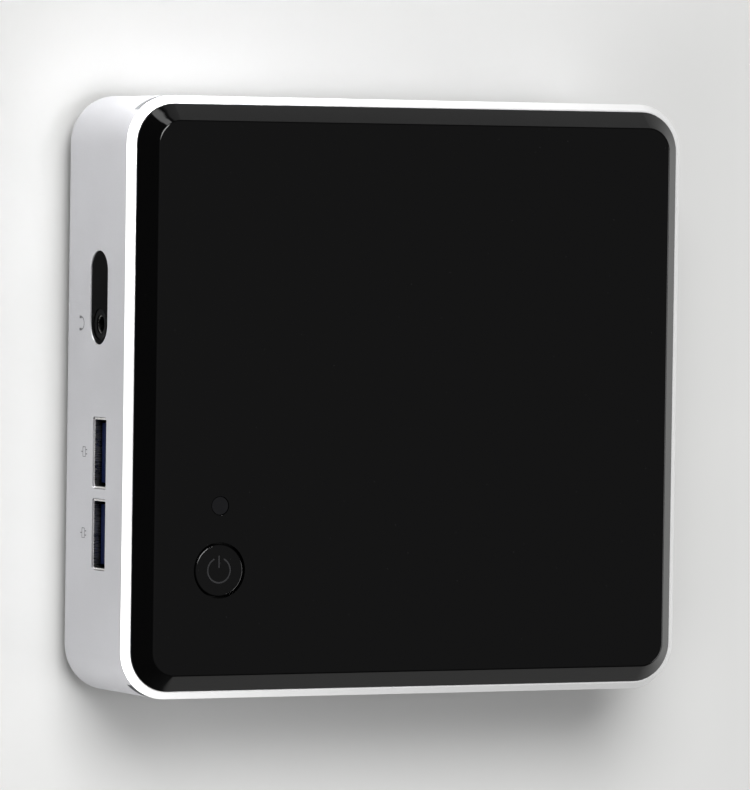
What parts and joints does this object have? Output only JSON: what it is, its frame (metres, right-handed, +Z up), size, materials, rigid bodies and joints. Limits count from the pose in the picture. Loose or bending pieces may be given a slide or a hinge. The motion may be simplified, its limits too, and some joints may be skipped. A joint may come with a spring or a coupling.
{
  "type": "mini pc",
  "caption": "Palm-size desktop computer: rounded aluminium band, bevelled gloss black lid with power button, screwed base cover on rubber feet.",
  "frame": {"origin": "on the surface it stands on, under the middle of the case", "axes": "+Z up through the lid; -Y out of the front, where the headphone jack and two USB ports are; +X to the right of somebody facing the front"},
  "size_m": [0.112, 0.1166, 0.0345],
  "materials": {
    "band_aluminium": "satin, bright cut edge round the lid",
    "lid_gloss": "high gloss black",
    "button_gloss": "gloss black",
    "clear_guide": "smoked clear moulding",
    "smoked_window": "gloss smoked black",
    "steel_sheet": "plain sheet",
    "socket_steel": "tinned sheet",
    "screw_steel": "zinc plated",
    "black_steel": "fine black texture",
    "black_plastic": "moulded matte",
    "dark_plastic": "moulded matte",
    "blue_plastic": "moulded satin",
    "rubber_black": "matte",
    "brass": "machined",
    "gold": "thin gold plating",
    "board_blue": "satin solder mask",
    "board_green": "satin solder mask",
    "chip_grey": "moulded epoxy",
    "copper": "plain copper",
    "fin_metal": "plain",
    "label_paper": "blank label",
    "pad_grey": "soft heat pad",
    "cell_wrap": "shrink film"
  },
  "bodies": {
    "base": {"base_cover": "black_steel", "feet": "rubber_black", "vesa_inserts": "brass", "rating_label": "label_paper", "drive_pad": "pad_grey"},
    "cover_screw_front_left": {"cover_screw_front_left": "screw_steel"},
    "cover_screw_front_right": {"cover_screw_front_right": "screw_steel"},
    "cover_screw_rear_left": {"cover_screw_rear_left": "screw_steel"},
    "cover_screw_rear_right": {"cover_screw_rear_right": "screw_steel"},
    "chassis": {"aluminium_band": "band_aluminium", "top_cover": "lid_gloss", "top_shield": "steel_sheet", "inner_frame": "black_plastic", "threaded_posts": "brass", "vent_grilles": "black_plastic", "port_plate": "black_steel", "power_switch": "dark_plastic", "drive_light": "clear_guide", "usb_shells": "socket_steel", "usb_tongues": "blue_plastic", "jack_window": "smoked_window", "audio_jack": "dark_plastic", "infrared_receiver": "smoked_window", "lan_jack_shell": "socket_steel", "lan_jack_insert": "black_plastic", "lan_contacts": "gold", "display_port_shell": "socket_steel", "display_port_tongue": "black_plastic", "hdmi_port_shell": "socket_steel", "hdmi_port_tongue": "black_plastic", "power_jack": "black_plastic", "power_jack_pin": "socket_steel", "motherboard": "board_blue", "processor": "chip_grey", "board_parts": "chip_grey", "inner_screws": "screw_steel", "lid_screws": "screw_steel", "heat_plate": "copper", "heat_pipe": "copper", "fin_stack": "fin_metal", "fan_housing": "black_plastic", "fan_cover": "steel_sheet", "fan_motor": "dark_plastic", "fan_lead": "rubber_black", "memory_sockets": "dark_plastic", "memory_module_outer": "board_green", "memory_module_inner": "board_green", "card_sockets": "dark_plastic", "drive_card": "board_green", "radio_card": "board_green", "card_standoffs": "brass", "card_screws": "screw_steel", "clock_battery": "cell_wrap"},
    "button": {"power_button": "button_gloss", "switch_plunger": "dark_plastic"},
    "fan": {"fan_rotor": "dark_plastic"},
    "latch_outer_left": {"memory_latch_outer_left": "socket_steel"},
    "latch_outer_right": {"memory_latch_outer_right": "socket_steel"},
    "latch_inner_left": {"memory_latch_inner_left": "socket_steel"},
    "latch_inner_right": {"memory_latch_inner_right": "socket_steel"}
  },
  "joints": [
    {"name": "chassis_lift", "type": "slide", "parent": "base", "child": "chassis", "axis": [0, 0, 1], "range_m": [0, 0.05]},
    {"name": "power_button_press", "type": "slide", "parent": "chassis", "child": "button", "axis": [0, 0, -1], "range_m": [0, 0.0008], "stiffness_N_per_m": 900, "springref_m": -0.0004},
    {"name": "fan_spin", "type": "hinge", "parent": "chassis", "child": "fan", "pos_m": [0, 0.002, 0.0247], "axis": [0, 0, 1], "continuous": true},
    {"name": "cover_screw_turn_front_left", "type": "hinge", "parent": "base", "child": "cover_screw_front_left", "pos_m": [-0.044, -0.046, 0.006], "axis": [0, 0, -1], "continuous": true},
    {"name": "cover_screw_turn_front_right", "type": "hinge", "parent": "base", "child": "cover_screw_front_right", "pos_m": [0.044, -0.046, 0.006], "axis": [0, 0, -1], "continuous": true},
    {"name": "cover_screw_turn_rear_left", "type": "hinge", "parent": "base", "child": "cover_screw_rear_left", "pos_m": [-0.044, 0.046, 0.006], "axis": [0, 0, -1], "continuous": true},
    {"name": "cover_screw_turn_rear_right", "type": "hinge", "parent": "base", "child": "cover_screw_rear_right", "pos_m": [0.044, 0.046, 0.006], "axis": [0, 0, -1], "continuous": true},
    {"name": "memory_latch_outer_left_swing", "type": "hinge", "parent": "chassis", "child": "latch_outer_left", "pos_m": [-0.0349, -0.0003, 0.0067], "axis": [0, 0, -1], "range_deg": [0, 5], "stiffness_Nm_per_rad": 0.05},
    {"name": "memory_latch_outer_right_swing", "type": "hinge", "parent": "chassis", "child": "latch_outer_right", "pos_m": [0.0349, -0.0003, 0.0067], "axis": [0, 0, 1], "range_deg": [0, 5], "stiffness_Nm_per_rad": 0.05},
    {"name": "memory_latch_inner_left_swing", "type": "hinge", "parent": "chassis", "child": "latch_inner_left", "pos_m": [-0.0349, -0.0088, 0.0104], "axis": [0, 0, -1], "range_deg": [0, 5], "stiffness_Nm_per_rad": 0.05},
    {"name": "memory_latch_inner_right_swing", "type": "hinge", "parent": "chassis", "child": "latch_inner_right", "pos_m": [0.0349, -0.0088, 0.0104], "axis": [0, 0, 1], "range_deg": [0, 5], "stiffness_Nm_per_rad": 0.05}
  ]
}
